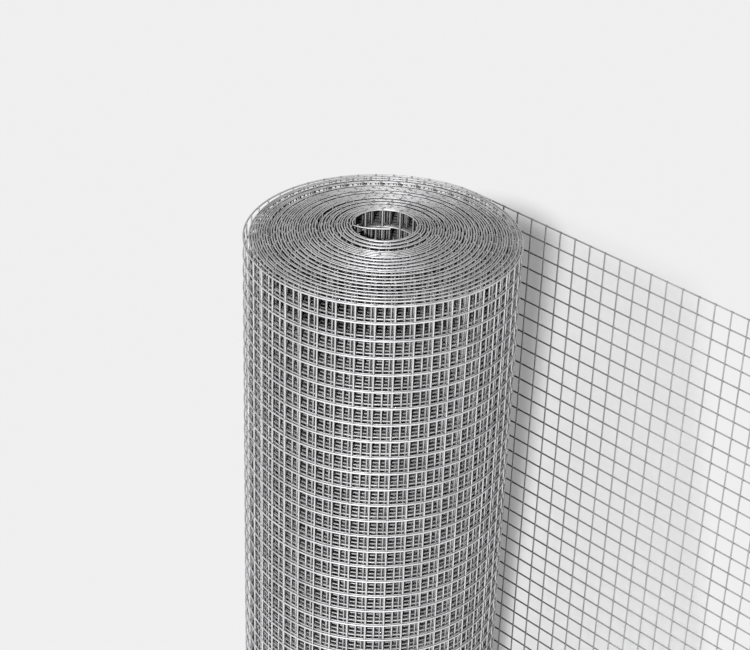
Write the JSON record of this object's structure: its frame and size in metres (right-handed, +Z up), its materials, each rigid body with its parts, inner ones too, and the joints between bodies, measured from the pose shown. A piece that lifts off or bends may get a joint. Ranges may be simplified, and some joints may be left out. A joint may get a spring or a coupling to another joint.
{
  "type": "welded wire mesh roll",
  "caption": "Roll of galvanised square welded wire mesh standing on end, with a round bore and its free end led off straight from the outermost turn.",
  "frame": {"origin": "centre of the bore's lower mouth, 9 mm above the floor that the outer turns stand on", "axes": "+Z up the bore; +X along the free end, away from the roll; +Y from the bore towards the side where the free end leaves the roll"},
  "size_m": [0.3724, 0.1848, 0.6206],
  "materials": {
    "rolled_mesh": "galvanised, dull",
    "galvanised_wire": "galvanised, satin"
  },
  "bodies": {
    "root": {"mesh_roll": "rolled_mesh", "free_end_near": "galvanised_wire", "free_end_middle": "galvanised_wire", "free_end_far": "galvanised_wire"}
  },
  "joints": []
}
